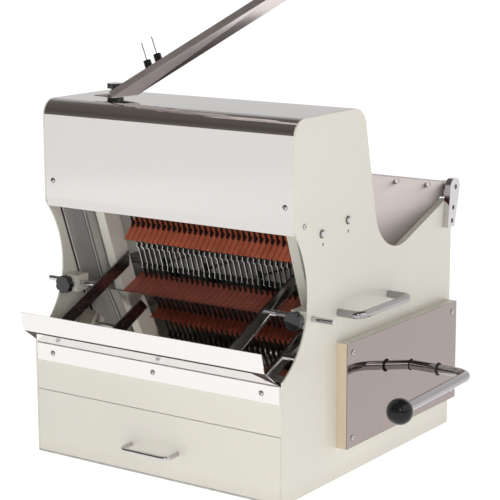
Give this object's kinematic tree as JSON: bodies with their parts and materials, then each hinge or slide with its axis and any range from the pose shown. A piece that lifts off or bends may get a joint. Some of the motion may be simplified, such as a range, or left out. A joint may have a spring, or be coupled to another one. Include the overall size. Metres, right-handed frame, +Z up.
{
  "type": "bench-top bread slicer",
  "caption": "Bench-top bread slicer with two sawing blade frames, slotted combs, outlet chute with sliding guides, feed lever, loading flap, crumb drawer and bagging scoop.",
  "frame": {"origin": "middle of the base pan's footprint, on the bench", "axes": "+X to the operator's right when facing the outlet, +Y to the back, +Z up"},
  "size_m": [0.7796, 0.6522, 0.8825],
  "materials": {
    "cream": "satin cream paint",
    "stainless": "brushed stainless sheet",
    "mirror_steel": "polished stainless",
    "chrome": "bright chrome",
    "phenolic": "machined brown phenolic",
    "dark_steel": "zinc-plated steel",
    "motor_iron": "painted motor housing",
    "bronze": "sintered bronze",
    "guide_plastic": "white sliding plastic",
    "grey_plastic": "grey moulding",
    "black_plastic": "glossy black",
    "rubber": "black rubber",
    "green_plastic": "green button",
    "red_plastic": "red button"
  },
  "bodies": {
    "casing": {"base_pan": "dark_steel", "left_side_plate": "cream", "right_side_plate": "cream", "front_panel": "cream", "rear_panel": "cream", "hood": "stainless", "chute_tray": "mirror_steel", "chute_bracket": "stainless", "comb_posts": "cream", "comb_rails": "dark_steel", "upper_comb": "phenolic", "lower_comb": "phenolic", "side_liners": "mirror_steel", "loaf_bed": "stainless", "hinge_brackets": "chrome", "flap_pin": "dark_steel", "left_carry_handle": "chrome", "right_carry_handle": "chrome", "cover_frame": "cream", "side_cover": "stainless", "left_rod_clamp": "cream", "right_rod_clamp": "cream", "crank_bearings": "dark_steel", "lever_bushes": "bronze", "stop_pins": "dark_steel", "motor": "motor_iron", "motor_mount": "dark_steel", "drive_belt": "rubber", "frame_guides": "guide_plastic", "drawer_runners": "dark_steel", "switch_box": "grey_plastic", "cable_gland": "black_plastic", "scoop_stud": "dark_steel", "casing_screws": "chrome", "comb_bolts": "chrome", "hinge_screws": "dark_steel"},
    "crumb_drawer": {"drawer_box": "stainless", "drawer_front": "cream", "drawer_handle": "chrome"},
    "left_loaf_guide": {"left_guide": "mirror_steel"},
    "right_loaf_guide": {"right_guide": "mirror_steel"},
    "left_knob": {"left_clamp_knob": "black_plastic"},
    "right_knob": {"right_clamp_knob": "black_plastic"},
    "lever": {"feed_lever": "chrome", "lever_ball": "black_plastic", "lever_ring": "rubber", "pusher_fingers": "stainless"},
    "flap": {"loading_flap": "stainless"},
    "front_saw": {"front_blade_frame": "dark_steel", "front_blades": "chrome"},
    "rear_saw": {"rear_blade_frame": "dark_steel", "rear_blades": "chrome"},
    "crank": {"crankshaft": "dark_steel"},
    "front_rods": {"front_con_rods": "stainless"},
    "rear_rods": {"rear_con_rods": "stainless"},
    "rotor": {"motor_pulley": "dark_steel"},
    "scoop": {"bag_scoop": "stainless"},
    "scoop_nut": {"scoop_knob": "black_plastic"},
    "start": {"start_button": "green_plastic"},
    "stop": {"stop_button": "red_plastic"}
  },
  "joints": [
    {"name": "drawer_slide", "type": "slide", "parent": "casing", "child": "crumb_drawer", "axis": [0, -1, 0], "range_m": [0, 0.2]},
    {"name": "left_guide_slide", "type": "slide", "parent": "casing", "child": "left_loaf_guide", "axis": [1, 0, 0], "range_m": [-0.01, 0.038]},
    {"name": "right_guide_slide", "type": "slide", "parent": "casing", "child": "right_loaf_guide", "axis": [-1, 0, 0], "range_m": [-0.01, 0.038]},
    {"name": "left_knob_turn", "type": "hinge", "parent": "casing", "child": "left_knob", "pos_m": [-0.256, -0.223, 0.31], "axis": [0, 1, 0], "range_deg": [-180, 180]},
    {"name": "right_knob_turn", "type": "hinge", "parent": "casing", "child": "right_knob", "pos_m": [0.256, -0.223, 0.31], "axis": [0, 1, 0], "range_deg": [-180, 180]},
    {"name": "lever_swing", "type": "hinge", "parent": "casing", "child": "lever", "pos_m": [0, 0.105, 0.164], "axis": [-1, 0, 0], "range_deg": [0, 84]},
    {"name": "flap_swing", "type": "hinge", "parent": "casing", "child": "flap", "pos_m": [0, 0.287, 0.473], "axis": [1, 0, 0], "range_deg": [0, 95]},
    {"name": "front_saw_slide", "type": "slide", "parent": "casing", "child": "front_saw", "axis": [0, -0.3338, 0.9426], "range_m": [-0.01, 0.01]},
    {"name": "rear_saw_slide", "type": "slide", "parent": "casing", "child": "rear_saw", "axis": [0, -0.3338, 0.9426], "range_m": [-0.01, 0.01]},
    {"name": "crank_spin", "type": "hinge", "parent": "casing", "child": "crank", "pos_m": [0, 0.00563, 0.07831], "axis": [1, 0, 0], "continuous": true},
    {"name": "front_rods_turn", "type": "hinge", "parent": "crank", "child": "front_rods", "pos_m": [0, 0.01505, 0.08165], "axis": [1, 0, 0], "continuous": true},
    {"name": "rear_rods_turn", "type": "hinge", "parent": "crank", "child": "rear_rods", "pos_m": [0, -0.0038, 0.07498], "axis": [1, 0, 0], "continuous": true},
    {"name": "rotor_spin", "type": "hinge", "parent": "casing", "child": "rotor", "pos_m": [0, 0.187, 0.077], "axis": [1, 0, 0], "continuous": true},
    {"name": "scoop_swivel", "type": "hinge", "parent": "casing", "child": "scoop", "pos_m": [-0.165, -0.181, 0.664], "axis": [0, 0, 1], "range_deg": [-60, 60]},
    {"name": "scoop_nut_turn", "type": "hinge", "parent": "casing", "child": "scoop_nut", "pos_m": [-0.165, -0.181, 0.67], "axis": [0, 0, 1], "range_deg": [-180, 180]},
    {"name": "start_press", "type": "slide", "parent": "casing", "child": "start", "axis": [1, 0, 0], "range_m": [0, 0.003], "stiffness_N_per_m": 600},
    {"name": "stop_press", "type": "slide", "parent": "casing", "child": "stop", "axis": [1, 0, 0], "range_m": [0, 0.003], "stiffness_N_per_m": 600}
  ],
  "couplings": [
    {"joint": "rear_saw_slide", "follows": "front_saw_slide", "ratio": -1},
    {"joint": "front_rods_turn", "follows": "crank_spin", "ratio": -1},
    {"joint": "rear_rods_turn", "follows": "crank_spin", "ratio": -1},
    {"joint": "rotor_spin", "follows": "crank_spin", "ratio": 2}
  ]
}
